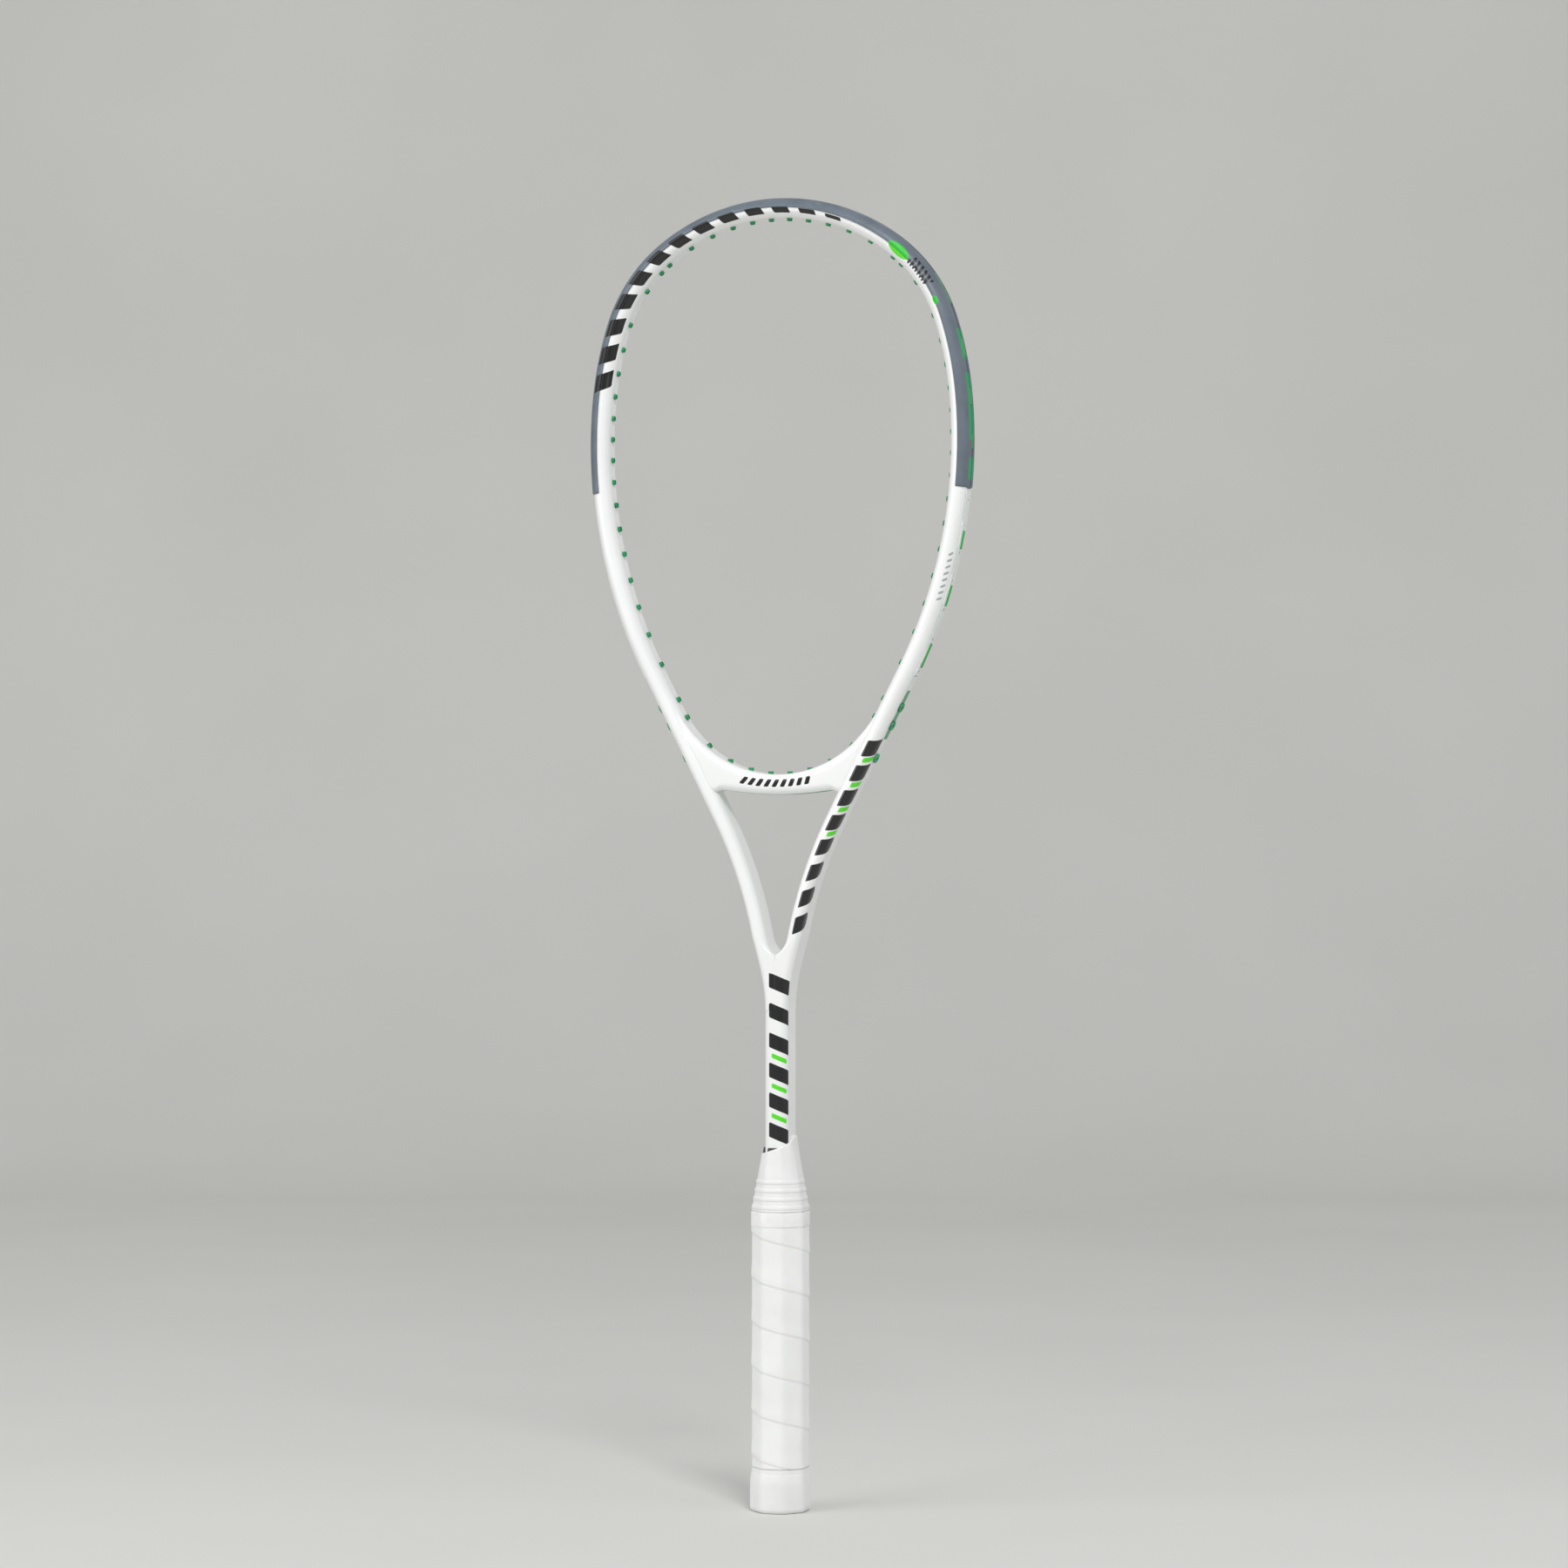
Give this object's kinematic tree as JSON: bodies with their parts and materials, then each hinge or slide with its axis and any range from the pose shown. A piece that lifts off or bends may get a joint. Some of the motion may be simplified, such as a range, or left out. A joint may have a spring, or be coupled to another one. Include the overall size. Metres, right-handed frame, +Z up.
{
  "type": "squash racket",
  "caption": "Upright unstrung squash racket: teardrop head with bumper guard and grommets, open throat, slim shaft and wrapped octagonal handle.",
  "frame": {"origin": "middle of the flat bottom of the butt cap, on the surface that the racket stands on", "axes": "+Z up the handle to the top of the head, +X across the head's width, +Y towards the back face; the string plane is Y = 0"},
  "size_m": [0.209, 0.0318, 0.686],
  "materials": {
    "lacquered_carbon": "white gloss lacquer over carbon laminate, with black and green graphics",
    "raw_carbon": "bare carbon laminate",
    "core_foam": "rigid foam",
    "handle_foam": "moulded polyurethane foam",
    "cap_plastic": "satin moulded",
    "staple_steel": "bright wire",
    "grip_cushion": "perforation-free polyurethane cushion grip, matt",
    "tape": "vinyl tape",
    "collar_rubber": "matt moulded rubber",
    "bumper_nylon": "moulded nylon, satin",
    "grommet_nylon": "moulded nylon, green",
    "pad_nylon": "moulded nylon, bright green"
  },
  "bodies": {
    "root": {"head_hoop": "lacquered_carbon", "throat_arm_left": "lacquered_carbon", "throat_arm_right": "lacquered_carbon", "throat_bridge": "lacquered_carbon", "throat_yoke": "lacquered_carbon", "shaft_wrap": "lacquered_carbon", "throat_bridge_core": "core_foam", "shaft_leg_left": "raw_carbon", "shaft_leg_right": "raw_carbon", "handle_pallet_left": "handle_foam", "handle_pallet_right": "handle_foam", "butt_cap": "cap_plastic", "butt_cap_plug": "cap_plastic", "butt_cap_staples": "staple_steel", "cushion_grip": "grip_cushion", "grip_start_tack": "staple_steel", "finishing_tape": "tape", "grip_collar": "collar_rubber", "bumper_guard": "bumper_nylon", "side_grommet_strip_left": "grommet_nylon", "side_grommet_strip_right": "grommet_nylon", "bridge_grommet_strip": "grommet_nylon", "shoulder_grommets": "grommet_nylon", "string_pads": "pad_nylon"}
  },
  "joints": []
}
